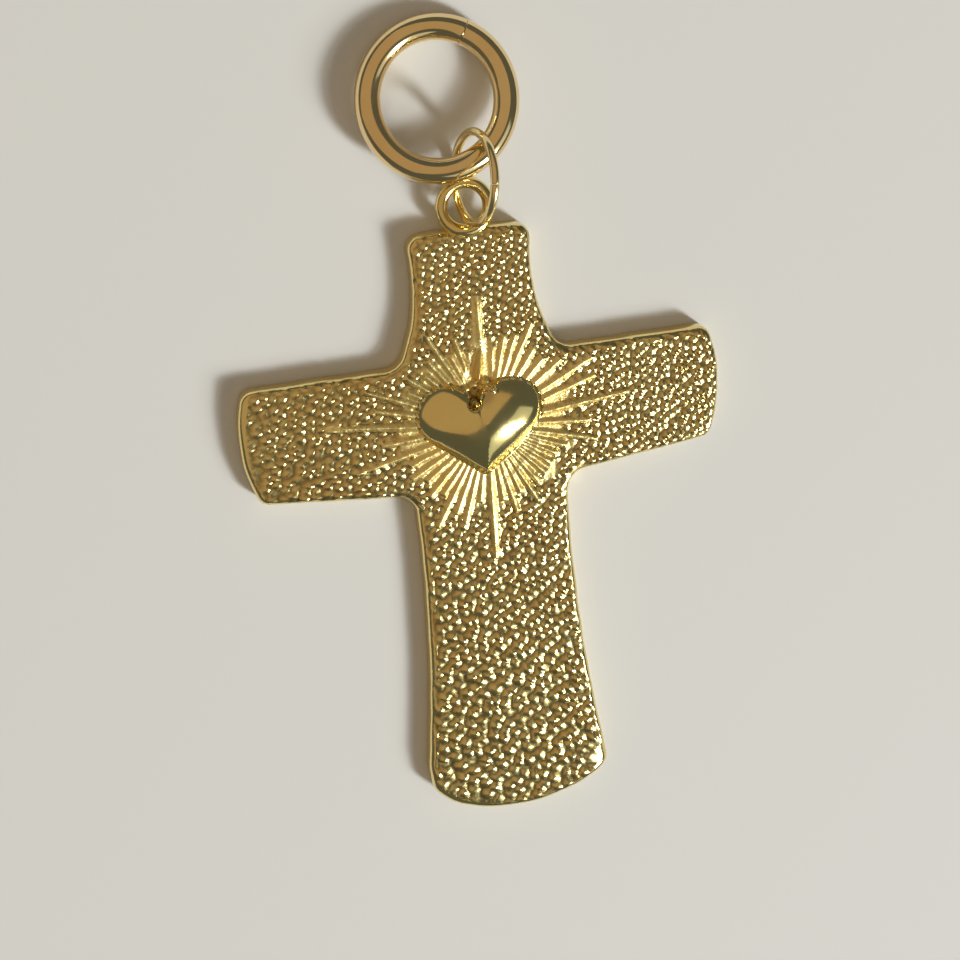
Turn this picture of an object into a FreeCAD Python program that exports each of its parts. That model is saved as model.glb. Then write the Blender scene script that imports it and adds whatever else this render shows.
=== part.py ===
"""Cross heart pendant.

A cast cross with a puffed heart and a sunburst on its front, hung from two wire rings. It lies on its back:
+Z is out of the front, +Y runs up the long arm to the eye, and the origin is on the flat back, on the long axis,
at the height of the heart. Millimetres and degrees.
"""

import FreeCAD, Part
import math
import os
import Sketcher
from FreeCAD import Vector

DIMENSIONS = {
    # cast plate
    "plate_thickness": 2.6,
    "top_end_height": 22.1,
    "top_corner_height": 21.75,
    "top_corner_half": 7.0,
    "top_waist_radius": 20.4,
    "arm_top_height": 7.75,
    "upper_crotch_half": 9.1,
    "arm_reach_top": 26.1,
    "arm_reach_bottom": 25.6,
    "arm_end_radius": 18.0,
    "arm_bottom_drop": 5.2,
    "lower_crotch_half": 8.75,
    "lower_crotch_drop": 6.95,
    "leg_side_radius": 190.0,
    "foot_corner_half": 11.2,
    "foot_corner_drop": 43.9,
    "foot_end_drop": 47.5,
    "corner_round": 1.5,
    "crotch_round": 2.3,
    "front_rim_round": 0.85,
    "back_rim_bevel": 0.3,
    # puffed heart
    "heart_across": -0.4,
    "heart_middle": 0.5,
    "heart_lobe_radius": 3.65,
    "heart_lobe_offset": 3.25,
    "heart_lobe_rise": 1.45,
    "heart_shoulder_drop": 0.6,
    "heart_side_radius": 17.0,
    "heart_tip_drop": 6.0,
    "heart_puff": 2.9,
    "heart_sink": 0.4,
    # flame in the cleft
    "flame_foot": 4.2,
    "flame_length": 3.9,
    "flame_foot_radius": 1.2,
    "flame_tip_radius": 0.2,
    # sunburst
    "burst_middle": 0.3,
    "burst_ground_radius": 8.6,
    "burst_ground_rise": 0.1,
    "ray_root": 4.3,
    "ray_reach": 16.2,
    "ray_width": 1.4,
    "ray_rise": 0.62,
    "beam_width": 1.6,
    "beam_rise": 0.78,
    "ray_fall": 2.0,
    "ray_hip": 0.5,
    "ray_sink": 0.5,
    "ray_sink_step": 0.11,
    # cast eye
    "eye_height": 24.35,
    "eye_level": 1.9,
    "eye_radius": 2.55,
    "eye_wire": 0.66,
    # jump ring
    "jump_radius": 4.68,
    "jump_wire": 0.46,
    "jump_across": 0.65,
    "jump_height": 27.7,
    "jump_level": 5.03,
    "jump_lean": 75.2,
    "jump_turn": 173.0,
    "jump_seam_turn": 180.0,
    # carrier ring
    "carrier_radius": 7.28,
    "carrier_wire": 1.36,
    "carrier_across": -1.92,
    "carrier_height": 35.75,
    "carrier_level": 2.44,
    "carrier_lean": 7.9,
    "carrier_seam_turn": -28.0,
    "seam_gap": 0.06,
}

# Sunburst, counter-clockwise from the right-hand beam: direction and reach as a share of the longest ray.
BEAMS = [(5, 1.0), (89.5, 0.9), (173, 1.0), (268.5, 0.98)]
RAYS = [
    (17, 0.82), (25.5, 0.86), (35, 0.68), (44, 0.60), (53, 0.62), (61, 0.77), (67.5, 0.66), (74, 0.64), (81, 0.56),
    (98, 0.54), (105, 0.66), (111.5, 0.57), (118, 0.79), (126, 0.63), (134, 0.57), (142, 0.67), (149.5, 0.61),
    (156.5, 0.88), (164.5, 0.79), (183, 0.74), (193, 0.95), (201, 0.60), (209, 0.64), (217, 0.57), (225.5, 0.64),
    (232.5, 0.58), (239, 0.80), (246, 0.67), (252.5, 0.73), (260, 0.56), (277, 0.57), (283.5, 0.68), (290.5, 0.56),
    (297.5, 0.69), (305, 0.58), (313, 0.57), (321, 0.56), (329, 0.55), (336.5, 0.60), (344, 0.80), (354, 0.73),
]
HEART_LAYERS = 7

doc = FreeCAD.newDocument("cross_heart_pendant")
sheet = doc.addObject("Spreadsheet::Sheet", "dims")
for row, (alias, value) in enumerate(DIMENSIONS.items(), start=1):
    sheet.set(f"A{row}", alias)
    sheet.set(f"B{row}", str(value))
    sheet.setAlias(f"B{row}", alias)
doc.recompute()


def size(alias):
    """The value of one driving dimension."""
    return float(sheet.get(alias))


def bind(target, **formulas):
    """Ties properties of an object to formulas in the driving dimensions."""
    for name, formula in formulas.items():
        target.setExpression(name, formula)


def value_of(formula):
    """What a formula comes to with the present dimensions."""
    return float(sheet.evalExpression(formula))


def constrain(sketch, name, kind, where, formula):
    """Adds a named sketch dimension and ties it to a formula."""
    index = sketch.addConstraint(Sketcher.Constraint(kind, *where, value_of(formula)))
    sketch.renameConstraint(index, name)
    sketch.setExpression(f"Constraints.{name}", formula)


def fix_point(sketch, name, geometry, point, across, up):
    """Fixes a sketch point by its signed distances from the origin; None leaves it on that axis."""
    origin_point, x_axis, y_axis = (-1, 1), -1, -2
    for kind, way, formula, axis in (("DistanceX", "across", across, y_axis), ("DistanceY", "up", up, x_axis)):
        if formula is None:
            sketch.addConstraint(Sketcher.Constraint("PointOnObject", geometry, point, axis))
        else:
            constrain(sketch, f"{name}_{way}", kind, (*origin_point, geometry, point), formula)


def fix_radius(sketch, name, geometry, formula):
    """Fixes the radius of a sketched arc."""
    constrain(sketch, name, "Radius", (geometry,), formula)


def bulged_arc(start, end, bulge):
    """An arc between two points whose middle stands off the chord, to the left of the way from start to end."""
    along = end - start
    middle = (start + end) * 0.5 + Vector(-along.y, along.x, 0).normalize() * bulge
    return Part.Arc(start, middle, end)


def start_and_end(sketch, geometry, start):
    """The two end-point numbers of a sketched edge, the one at the given place first."""
    from_first, from_second = (sketch.getPoint(geometry, end).distanceToPoint(start) for end in (1, 2))
    return (1, 2) if from_first < from_second else (2, 1)


# Cast plate: half the outline, mirrored, then rounded.

plate = doc.addObject("PartDesign::Body", "plate")
planes = {feature.Role: feature for feature in plate.Origin.OriginFeatures}
outline = plate.newObject("Sketcher::SketchObject", "half_outline")
outline.AttachmentSupport = [(planes["XY_Plane"], "")]
outline.MapMode = "FlatFace"

CORNERS = [
    ("top_end", None, "dims.top_end_height"),
    ("top_corner", "dims.top_corner_half", "dims.top_corner_height"),
    ("upper_crotch", "dims.upper_crotch_half", "dims.arm_top_height"),
    ("arm_top_corner", "dims.arm_reach_top", "dims.arm_top_height"),
    ("arm_bottom_corner", "dims.arm_reach_bottom", "-dims.arm_bottom_drop"),
    ("lower_crotch", "dims.lower_crotch_half", "-dims.lower_crotch_drop"),
    ("foot_corner", "dims.foot_corner_half", "-dims.foot_corner_drop"),
    ("foot_end", None, "-dims.foot_end_drop"),
]
points = [Vector(value_of(across) if across else 0, value_of(up), 0) for _, across, up in CORNERS]
TOP_BULGE = 0.1
WAIST_BULGE = -1.2
ARM_END_BULGE = 1.1
LEG_BULGE = -0.9
FOOT_BULGE = 0.8
edges = [
    bulged_arc(points[0], points[1], TOP_BULGE),
    bulged_arc(points[1], points[2], WAIST_BULGE),
    Part.LineSegment(points[2], points[3]),
    bulged_arc(points[3], points[4], ARM_END_BULGE),
    Part.LineSegment(points[4], points[5]),
    bulged_arc(points[5], points[6], LEG_BULGE),
    bulged_arc(points[6], points[7], FOOT_BULGE),
    Part.LineSegment(points[7], points[0]),
]
for edge in edges:
    outline.addGeometry(edge, False)
ends = [start_and_end(outline, number, points[number]) for number in range(len(edges))]
for number in range(len(edges)):
    following = (number + 1) % len(edges)
    joint = Sketcher.Constraint("Coincident", number, ends[number][1], following, ends[following][0])
    outline.addConstraint(joint)
for number, (name, across, up) in enumerate(CORNERS):
    fix_point(outline, name, number, ends[number][0], across, up)
CENTRE = 3
outline.addConstraint(Sketcher.Constraint("PointOnObject", 0, CENTRE, -2))
outline.addConstraint(Sketcher.Constraint("PointOnObject", 6, CENTRE, -2))
fix_radius(outline, "waist_radius", 1, "dims.top_waist_radius")
fix_radius(outline, "arm_end_radius", 3, "dims.arm_end_radius")
fix_radius(outline, "leg_side_radius", 5, "dims.leg_side_radius")

half = plate.newObject("PartDesign::Pad", "half_plate")
half.Profile = outline
bind(half, Length="dims.plate_thickness")
doc.recompute()

both = plate.newObject("PartDesign::Mirrored", "both_halves")
both.Originals = [half]
both.MirrorPlane = (planes["YZ_Plane"], [""])
both.Refine = True
plate.Tip = both
doc.recompute()


def edge_names(shape, wanted):
    """Names of the edges that a test picks."""
    return [f"Edge{number}" for number, edge in enumerate(shape.Edges, start=1) if wanted(edge)]


def stands_at(edge, corners):
    """True for an upright edge of the plate at one of the outline's corners."""
    foot, head = edge.Vertexes[0].Point, edge.Vertexes[-1].Point
    upright = abs(foot.x - head.x) < 1e-6 and abs(foot.y - head.y) < 1e-6
    return upright and any(abs(abs(foot.x) - c.x) < 0.01 and abs(foot.y - c.y) < 0.01 for c in corners)


def lies_at(edge, level):
    """True for an edge that lies wholly at one height."""
    return all(abs(vertex.Point.z - level) < 1e-6 for vertex in edge.Vertexes) and abs(edge.BoundBox.ZLength) < 1e-4


def eased(kind, name, base, wanted, **formula):
    """Rounds or bevels the chosen edges of the plate."""
    feature = plate.newObject(f"PartDesign::{kind}", name)
    feature.Base = (base, edge_names(base.Shape, wanted))
    bind(feature, **formula)
    plate.Tip = feature
    doc.recompute()
    return feature


outer_corners = [points[1], points[3], points[4], points[6]]
crotches = [points[2], points[5]]
corners_done = eased(
    "Fillet", "round_corners", both, lambda e: stands_at(e, outer_corners), Radius="dims.corner_round"
)
crotches_done = eased(
    "Fillet", "round_crotches", corners_done, lambda e: stands_at(e, crotches), Radius="dims.crotch_round"
)
front_done = eased(
    "Fillet",
    "round_front_rim",
    crotches_done,
    lambda e: lies_at(e, size("plate_thickness")),
    Radius="dims.front_rim_round",
)
eased("Chamfer", "bevel_back_rim", front_done, lambda e: lies_at(e, 0.0), Size="dims.back_rim_bevel")

# Puffed heart: layers of the same outline, shrinking as they rise along a quarter circle from just under the face.

heart_layers = []
for layer in range(HEART_LAYERS):
    climb = math.radians(88.0 * layer / (HEART_LAYERS - 1))
    share, rise = math.cos(climb), math.sin(climb)
    close = share * (1 - 0.3 * (1 - share))
    sketch = doc.addObject("Sketcher::SketchObject", f"heart_layer_{layer}")
    level = f"dims.plate_thickness - dims.heart_sink + dims.heart_puff * {rise:.4f}"
    bind(sketch, Placement=f"placement(vector(dims.heart_across; dims.heart_middle; {level}); rotation(0; 0; 0))")
    radius, lobe_up = size("heart_lobe_radius") * share, size("heart_lobe_rise") * share
    lobe_across, tip = size("heart_lobe_offset") * close, size("heart_tip_drop") * share
    shoulder_up = -size("heart_shoulder_drop") * share
    cleft = Vector(0, lobe_up + math.sqrt(radius ** 2 - lobe_across ** 2), 0)
    shoulder = Vector(lobe_across + math.sqrt(radius ** 2 - (shoulder_up - lobe_up) ** 2), shoulder_up, 0)
    outermost = Vector(lobe_across + radius * math.cos(0.7), lobe_up + radius * math.sin(0.7), 0)
    bottom = Vector(0, -tip, 0)
    for side in (1, -1):
        mirrored = [Vector(p.x * side, p.y, 0) for p in (cleft, outermost, shoulder, bottom)]
        lobe = sketch.addGeometry(Part.Arc(*mirrored[:3]), False)
        flank = sketch.addGeometry(bulged_arc(mirrored[2], mirrored[3], 0.4 * share * side), False)
        lobe_start, lobe_end = start_and_end(sketch, lobe, mirrored[0])
        flank_start, flank_end = start_and_end(sketch, flank, mirrored[2])
        name = "right" if side == 1 else "left"
        sign = "" if side == 1 else "-"
        sketch.addConstraint(Sketcher.Constraint("Coincident", lobe, lobe_end, flank, flank_start))
        fix_point(
            sketch, f"{name}_lobe", lobe, CENTRE,
            f"{sign}dims.heart_lobe_offset * {close:.4f}", f"dims.heart_lobe_rise * {share:.4f}",
        )
        fix_radius(sketch, f"{name}_lobe_radius", lobe, f"dims.heart_lobe_radius * {share:.4f}")
        fix_radius(sketch, f"{name}_flank_radius", flank, f"dims.heart_side_radius * {share:.4f}")
        sketch.addConstraint(Sketcher.Constraint("PointOnObject", lobe, lobe_start, -2))
        shoulder_drop = f"-dims.heart_shoulder_drop * {share:.4f}"
        constrain(sketch, f"{name}_shoulder", "DistanceY", (-1, 1, lobe, lobe_end), shoulder_drop)
        fix_point(sketch, f"{name}_tip", flank, flank_end, None, f"-dims.heart_tip_drop * {share:.4f}")
    heart_layers.append(sketch)
doc.recompute()
heart = doc.addObject("Part::Loft", "heart")
heart.Sections = heart_layers
heart.Solid = True
heart.Ruled = False

flame = doc.addObject("Part::Cone", "flame")
bind(
    flame,
    Radius1="dims.flame_foot_radius",
    Radius2="dims.flame_tip_radius",
    Height="dims.flame_length",
    Placement=(
        "placement(vector(dims.heart_across; dims.flame_foot; dims.plate_thickness); rotation(vector(1; 0; 0); -90))"
    ),
)

# Sunburst: a round ground just proud of the plate, and rays like long hipped roofs that fall away outwards.

ground = doc.addObject("Part::Cylinder", "burst_ground")
bind(
    ground,
    Radius="dims.burst_ground_radius",
    Height="dims.plate_thickness / 2 + dims.burst_ground_rise",
    Placement="placement(vector(0; dims.burst_middle; dims.plate_thickness / 2); rotation(0; 0; 0))",
)


def ray(name, direction, share, kind, depth):
    """One ray, from under the heart to its point, which lies on the plate's face at its share of the reach.

    Neighbours are sunk to different depths, so that no two undersides lie almost in one plane.
    """
    roof = doc.addObject("Part::Wedge", name)
    rise, sink = f"dims.{kind}_rise", f"(dims.ray_sink + dims.ray_sink_step * {depth})"
    height = f"({rise} + {sink})"
    half_foot = f"dims.{kind}_width / 2 * {height} / {rise}"
    visible = f"(dims.ray_reach * {share} - dims.ray_root)"
    foot_length = f"{visible} + dims.ray_hip * ({sink} + {visible} * tan(dims.ray_fall)) / {rise}"
    roof.X2min = roof.X2max = roof.Z2min = 0
    bind(
        roof,
        Xmin=f"-{half_foot}",
        Xmax=half_foot,
        Ymin="0",
        Ymax=height,
        Zmin="0",
        Zmax=foot_length,
        Z2max=f"{foot_length} - dims.ray_hip * {height} / {rise}",
        Placement=(
            f"placement(vector(dims.ray_root * cos({direction}); dims.burst_middle + dims.ray_root * sin({direction});"
            f" dims.plate_thickness - {sink});"
            f" rotation(vector(0; 0; 1); {direction}) * rotation(vector(1; 1; 1); 120)"
            f" * rotation(vector(1; 0; 0); dims.ray_fall))"
        ),
    )
    return roof


sunburst = [ray(f"beam_{n}", turn, share, "beam", 3) for n, (turn, share) in enumerate(BEAMS, start=1)]
sunburst += [ray(f"ray_{n}", turn, share, "ray", (n + 1) % 3) for n, (turn, share) in enumerate(RAYS, start=1)]

# Cast eye, lying in the plane of the plate and grown into its top edge.

eye = doc.addObject("Part::Torus", "eye")
bind(
    eye,
    Radius1="dims.eye_radius",
    Radius2="dims.eye_wire",
    Placement="placement(vector(0; dims.eye_height; dims.eye_level); rotation(0; 0; 0))",
)

cross = doc.addObject("Part::MultiFuse", "cross")
cross.Shapes = [plate, ground, heart, flame, eye] + sunburst


# Two wire rings. Each is bent from round wire with its ends butted, which leaves a hairline gap.

def wire_ring(name, turn, lean, seam_turn):
    """A ring of round wire: it leans by one angle towards a compass direction, and its seam has a place on it."""
    ring = doc.addObject("Part::Torus", f"{name}_ring")
    bind(
        ring,
        Radius1=f"dims.{name}_radius",
        Radius2=f"dims.{name}_wire",
        Angle3=f"360 - 180 / pi * dims.seam_gap / dims.{name}_radius",
        Placement=(
            f"placement(vector(dims.{name}_across; dims.{name}_height; dims.{name}_level);"
            f" rotation(vector(0; 0; 1); {turn}) * rotation(vector(0; 1; 0); {lean})"
            f" * rotation(vector(0; 0; 1); {seam_turn}))"
        ),
    )
    return ring


TOWARDS_TOP = 90
jump_ring = wire_ring("jump", "dims.jump_turn", "dims.jump_lean", "dims.jump_seam_turn")
carrier_ring = wire_ring("carrier", TOWARDS_TOP, "dims.carrier_lean", "dims.carrier_seam_turn")

# Build, check and write.

doc.recompute()
for item in doc.Objects:
    if "Invalid" in item.State or "Error" in item.State:
        raise SystemExit(f"{item.Name} failed: {item.State}")

os.makedirs("parts", exist_ok=True)
for node in (cross, jump_ring, carrier_ring):
    if node.Shape.isNull() or not node.Shape.isValid():
        raise SystemExit(f"{node.Label} has no valid shape")
    node.Shape.exportStep(f"parts/{node.Label}.step")
    box = node.Shape.BoundBox
    print(node.Label, f"{box.XLength:.2f} x {box.YLength:.2f} x {box.ZLength:.2f} mm", len(node.Shape.Solids), "solid")
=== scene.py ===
"""Looks of the cross heart pendant.

The casting gets a skin that carries its pebbled face, the sunburst, the polished heart and the cast eye.
The two rings get finer wire with butted ends. Lengths are in millimetres while a piece is shaped, and in
metres once it is an object.
"""

import math

import bpy
import numpy as np
from mathutils import Matrix, Vector
from mathutils.bvhtree import BVHTree
from mathutils.geometry import delaunay_2d_cdt
from mathutils.kdtree import KDTree


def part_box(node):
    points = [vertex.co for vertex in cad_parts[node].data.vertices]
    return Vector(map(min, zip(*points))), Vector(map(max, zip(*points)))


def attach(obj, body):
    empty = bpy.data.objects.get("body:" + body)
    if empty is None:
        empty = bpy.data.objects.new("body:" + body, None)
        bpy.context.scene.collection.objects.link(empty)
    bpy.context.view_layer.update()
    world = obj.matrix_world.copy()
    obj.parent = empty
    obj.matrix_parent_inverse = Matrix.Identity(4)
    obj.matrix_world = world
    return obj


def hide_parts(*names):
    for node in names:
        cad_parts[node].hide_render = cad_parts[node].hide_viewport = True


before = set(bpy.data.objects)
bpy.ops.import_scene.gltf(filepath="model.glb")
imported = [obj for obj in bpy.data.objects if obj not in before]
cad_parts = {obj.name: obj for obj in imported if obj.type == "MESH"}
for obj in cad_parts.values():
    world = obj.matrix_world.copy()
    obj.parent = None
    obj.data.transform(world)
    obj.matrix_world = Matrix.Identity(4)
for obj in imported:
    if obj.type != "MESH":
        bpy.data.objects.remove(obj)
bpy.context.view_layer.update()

MM = 0.001

# Casting, in millimetres. The plate's outline and face, the rays and the eye's top come from the cross solid
# in model.glb.
OUTLINE_LEVEL = 0.9
OUTLINE_STEP = 0.27
FRONT_RIM_ROUND = 0.85
BACK_RIM_ROUND = 0.32
FRONT_RIM_INSETS = (0.05, 0.15, 0.29, 0.46, 0.65, 0.86)
BACK_RIM_INSETS = (0.05, 0.16, 0.36)
SIDE_LEVELS = (1.2, 0.75)
BACK_STEP = 1.1
BACK_GAP = 1.2
BACK_DIP = 0.03
EDGE_WANDER = 0.07
WORN_CORNER = (-11.3, -44.2)
WORN_CORNER_REACH = 4.6
WORN_CORNER_DEPTH = 0.85
SMOOTH_CORNER = (11.85, -43.1)
SMOOTH_CORNER_REACH = 2.9
SMOOTH_CORNER_SLOPE = 0.3

# Puffed heart: one outline that shrinks as it rises along a quarter circle.
HEART_ACROSS = -0.4
HEART_MIDDLE = 0.5
HEART_LOBE_RADIUS = 3.65
HEART_LOBE_OFFSET = 3.25
HEART_LOBE_RISE = 1.45
HEART_LOBE_CLOSING = 0.3
HEART_SHOULDER_DROP = 0.6
HEART_SIDE_RADIUS = 17.0
HEART_TIP_DROP = 6.0
HEART_PUFF = 2.9
HEART_SINK = 0.4
HEART_FOOT_SHARE = math.sqrt(1 - (HEART_SINK / HEART_PUFF) ** 2)
CLEFT_SHIFT = -0.75
TIP_SHIFT = -0.3
LEFT_LOBE_SHIFT = -0.55
HEART_CLIMBS = (9, 11, 14, 18, 22.5, 27.5, 33, 39, 45.5, 52, 58.5, 65, 71, 77, 83)
HEART_ROW_STEP = 0.24

# Small cast details at the heart's cleft: a pit with a bead in it, a collar of beads and a leaf-shaped flame.
PIT_PLACE = (-1.45, 3.3)
PIT_RADIUS = 0.85
PIT_FLOOR = 0.8
BEAD_PLACES = ((-1.15, 3.0), (-1.85, 4.75), (-1.05, 5.05), (-0.35, 4.55), (0.2, 5.15), (0.75, 4.6))
BEAD_RADII = (0.27, 0.42, 0.4, 0.34, 0.55, 0.34)
COLLAR_PLACE = (-0.6, 4.7)
FLAME_FOOT = (-0.65, 5.5)
FLAME_TIP = (0.0, 9.0)
FLAME_BROADEST = 0.25
FLAME_HALF_WIDTH = 0.66
FLAME_RISE = 1.1
RAYS_KEPT_NEAR_FLAME = 0.2
DETAIL_BOX = ((-2.8, 2.0), (1.6, 9.4))
DETAIL_STEP = 0.11
DETAIL_GAP = 0.05

# Sunburst. The solid's rays are made lower and fuller, and the outer lengths of four long beams are added.
BURST_MIDDLE = 0.3
BURST_REACH = 16.6
BURST_GROUND_RISE = 0.1
BURST_GROUND_FLAT = 5.5
BURST_GROUND_RADIUS = 8.6
RAY_BASE_FADE = (7.5, 9.5)
RAY_FOOT_HEIGHTS = (0.006, 0.05)
RAY_HEIGHT_KEPT = 0.72
RAY_FULLNESS = 0.8
FULL_RAY_RISE = 0.5
CARVED_WAVES = ((0.026, 1.5, 31), (0.018, 0.55, 32))
SMOOTH_GROUND_RADIUS = 8.4
PEBBLES_FROM_RADIUS = 9.9
LONG_BEAMS = (
    ((-0.25, 8.0), (0.15, 14.75), 0.66),
    ((-7.6, 1.23), (-17.7, 2.45), 0.42),
    ((-0.05, -7.5), (-0.42, -15.4), 0.5),
    ((7.5, 0.95), (16.4, 1.74), 0.34),
)
BEAM_STEEPNESS = 0.5
BEAM_CREST_SHIFT = 0.6
BEAM_STEP = 0.15
BEAM_GAP = 0.06
CREASE_TURN = math.radians(14)
CREASE_STEP = 0.25
GROUND_STEP = 0.18
GROUND_GAP = 0.1

# Cast eye.
EYE_RADIUS = 2.55
EYE_WIRE = 0.66
EYE_LEVEL = 1.9
EYE_FOOT_SWELL = 0.22
EYE_ROWS = 72
EYE_ROW_CORNERS = 28

# Pebbles: slanting rows that grow towards the foot. Each step and length belongs to a height across the rows.
PEBBLE_ROW_TURN = math.radians(-34)
PEBBLE_HEIGHTS = (-36.0, -24.0, -12.0, 0.0, 18.0)
PEBBLE_STEPS = (1.2, 1.13, 0.98, 0.94, 0.87)
PEBBLE_LONG = (1.34, 1.3, 1.16, 1.08, 1.04)
PEBBLE_JITTER = 0.32
PEBBLE_GAP = 0.07
PEBBLE_RISE = 0.27
PEBBLE_RISE_DRIFT = 0.011
PEBBLE_TILT = 0.45
PEBBLE_LEVEL = 0.45
PEBBLE_LIFTS = (0.45, 1.15)
PEBBLE_RING_SHARES = (0.32, 0.64)
FURTHEST_HUB = 1.1
LONGEST_VALLEY = 1.9

# Smooth rim: its width everywhere, what each part of the edge adds, and how it fades into the pebbles.
RIM_WIDTH = 0.06
RIM_ON_LEFT_SIDES = 0.2
RIM_ON_LONG_ARM_LEFT = 0.15
RIM_ON_LONG_ARM_RIGHT = 0.4
RIM_ON_LEFT_END = 0.4
RIM_ON_FOOT = 0.55
RIM_UNEVENNESS = 0.15
RIM_FADE = 0.35

# Polish of the casting's metal, from 0 to 1, and shares of its grain.
PEBBLE_POLISH = 0.48
BACK_POLISH = 0.6
DETAIL_GRAIN = 0.03
WALL_GRAIN = 0.1
BACK_GRAIN = 0.3
RAY_GRAIN = 1.2

# Camera, in millimetres: where it stands, what it looks at, and how far the picture's top turns off +Y.
CAMERA_PLACE = (-33.67, 55.83, 177.9)
CAMERA_AIM = (-1.24, -6.22, 1.9)
CAMERA_TOP_TURN = math.radians(5.38)
CAMERA_LENS = 63.75

# Key light: its degrees from +X and above the floor, and the tint of its two lamps.
KEY_BEARING = -41
KEY_HEIGHT = 36
KEY_TINT = (0.98, 1.0, 0.94)

# Floor, in metres from its middle to its edges.
FLOOR_HALF = 3.0


def smooth_step(value, low, high):
    """0 below low, 1 above high, and a smooth climb between."""
    share = np.clip((value - low) / (high - low), 0, 1)
    return share * share * (3 - 2 * share)


def waves(points, length, seed):
    """A smooth uneven field, mostly between -1 and 1, over 2-D or 3-D points, from a few crossing waves."""
    rng = np.random.default_rng(seed)
    total = np.zeros(len(points))
    count = 9
    for _ in range(count):
        way = rng.normal(size=points.shape[1])
        way /= np.linalg.norm(way)
        pitch = length * rng.uniform(0.7, 1.5)
        total += np.sin(points @ way * (2 * math.pi / pitch) + rng.uniform(0, 2 * math.pi))
    return total / math.sqrt(count)


def solid_of(node):
    """Corners, in millimetres, and triangles of a CAD node, with corners that share a place made one."""
    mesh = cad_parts[node].data
    mesh.calc_loop_triangles()
    corners = np.zeros(len(mesh.vertices) * 3, np.float32)
    mesh.vertices.foreach_get("co", corners)
    triangles = np.zeros(len(mesh.loop_triangles) * 3, np.int32)
    mesh.loop_triangles.foreach_get("vertices", triangles)
    places = corners.reshape(-1, 3).astype(float) / MM
    _, first, merged = np.unique(np.round(places, 3), axis=0, return_index=True, return_inverse=True)
    triangles = merged.reshape(-1)[triangles].reshape(-1, 3)
    kept = np.array([len(set(t)) == 3 for t in triangles])
    return places[first], triangles[kept]


def tree_of(points):
    """A search tree over 2-D or 3-D points."""
    tree = KDTree(len(points))
    for number, point in enumerate(points):
        tree.insert((point[0], point[1], point[2] if len(point) > 2 else 0), number)
    tree.balance()
    return tree


def object_from(name, places, faces, material):
    """A mesh object, smooth-shaded, from places in millimetres."""
    mesh = bpy.data.meshes.new(name)
    mesh.from_pydata([tuple(place) for place in places * MM], [], [tuple(face) for face in faces])
    mesh.polygons.foreach_set("use_smooth", [True] * len(mesh.polygons))
    mesh.materials.append(material)
    mesh.update()
    piece = bpy.data.objects.new(name, mesh)
    bpy.context.scene.collection.objects.link(piece)
    return piece


def store(piece, name, values):
    """Keeps a number for each corner of a piece, for its material to read."""
    attribute = piece.data.attributes.new(name, "FLOAT", "POINT")
    attribute.data.foreach_set("value", np.asarray(values, np.float32))


def ring_faces(first_row, second_row):
    """Quads between two closed rows of corners with the same count."""
    first_after = first_row[1:] + first_row[:1]
    second_after = second_row[1:] + second_row[:1]
    return list(zip(first_row, first_after, second_after, second_row))


def side_normals(places, triangles):
    """Middle, unit normal and doubled area of each triangle."""
    sides = places[triangles]
    normals = np.cross(sides[:, 1] - sides[:, 0], sides[:, 2] - sides[:, 0])
    doubled_areas = np.linalg.norm(normals, axis=1)
    normals /= np.maximum(doubled_areas, 1e-12)[:, None]
    return sides.mean(axis=1), normals, doubled_areas


# Outline of the casting.


def section_loop(places, triangles, level):
    """The longest closed loop in which a level cuts the solid."""
    heights = places[:, 2] - level
    links = {}
    crossings = {}
    for triangle in triangles:
        cut = []
        for a, b in ((0, 1), (1, 2), (2, 0)):
            low, high = sorted((triangle[a], triangle[b]))
            if (heights[low] > 0) != (heights[high] > 0):
                share = heights[low] / (heights[low] - heights[high])
                crossings[(low, high)] = places[low, :2] + share * (places[high, :2] - places[low, :2])
                cut.append((low, high))
        if len(cut) == 2:
            links.setdefault(cut[0], []).append(cut[1])
            links.setdefault(cut[1], []).append(cut[0])
    loops = []
    left = set(links)
    while left:
        here = left.pop()
        loop = [here]
        while True:
            onward = [key for key in links[here] if key in left]
            if not onward:
                break
            here = onward[0]
            left.discard(here)
            loop.append(here)
        loops.append(np.array([crossings[key] for key in loop]))
    return max(loops, key=len)


def evenly_spaced(loop, step):
    """A closed loop walked in even steps, counter-clockwise."""
    turned = np.roll(loop, -1, axis=0)
    area = np.sum(loop[:, 0] * turned[:, 1] - turned[:, 0] * loop[:, 1])
    if area < 0:
        loop = loop[::-1]
    closed = np.vstack([loop, loop[:1]])
    lengths = np.concatenate([[0], np.cumsum(np.linalg.norm(np.diff(closed, axis=0), axis=1))])
    walked = np.linspace(0, lengths[-1], int(lengths[-1] / step), endpoint=False)
    return np.stack([np.interp(walked, lengths, closed[:, axis]) for axis in (0, 1)], axis=1)


def softened(loop, rounds):
    """A closed loop with its small facets smoothed away."""
    for _ in range(rounds):
        loop = 0.5 * loop + 0.25 * (np.roll(loop, 1, axis=0) + np.roll(loop, -1, axis=0))
    return loop


def inward(loop):
    """Unit directions from a counter-clockwise loop into the shape."""
    along = np.roll(loop, -1, axis=0) - np.roll(loop, 1, axis=0)
    along /= np.linalg.norm(along, axis=1)[:, None]
    return np.stack([-along[:, 1], along[:, 0]], axis=1)


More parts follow.
